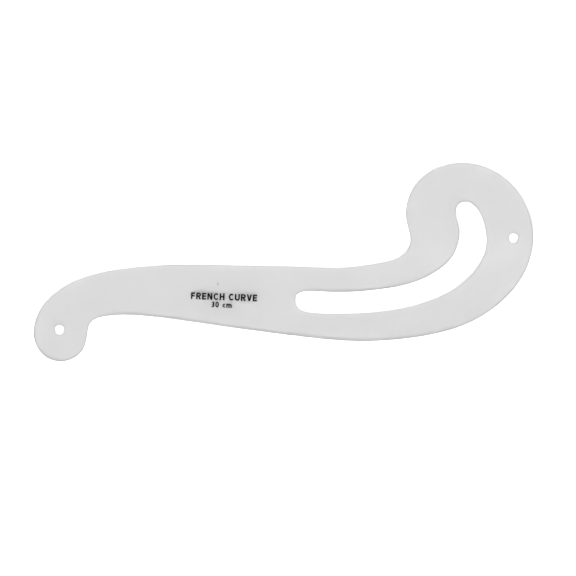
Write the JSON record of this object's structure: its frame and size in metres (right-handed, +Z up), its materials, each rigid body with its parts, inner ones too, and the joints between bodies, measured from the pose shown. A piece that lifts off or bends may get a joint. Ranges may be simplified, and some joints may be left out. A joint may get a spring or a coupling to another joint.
{
  "type": "french curve",
  "caption": "Flat french curve of clear acrylic sheet for drawing smooth curves, with an open curved slot and hanging holes.",
  "frame": {"origin": "under the middle of the plate's bounding box, on its underside", "axes": "+X along the plate's length towards the round head, +Y across it towards the crown of the head, +Z up out of the printed face"},
  "size_m": [0.305, 0.1212, 0.0021],
  "materials": {
    "acrylic": "clear sheet with polished faces and a satin cut edge",
    "ink": "thin opaque printed film"
  },
  "bodies": {
    "root": {"curve_plate": "acrylic", "ink_title_1": "ink", "ink_title_2": "ink", "ink_title_3": "ink", "ink_title_4": "ink", "ink_title_5": "ink", "ink_title_6": "ink", "ink_title_7": "ink", "ink_title_8": "ink", "ink_title_9": "ink", "ink_title_10": "ink", "ink_title_11": "ink", "ink_length_1": "ink", "ink_length_2": "ink", "ink_length_3": "ink", "ink_length_4": "ink"}
  },
  "joints": []
}
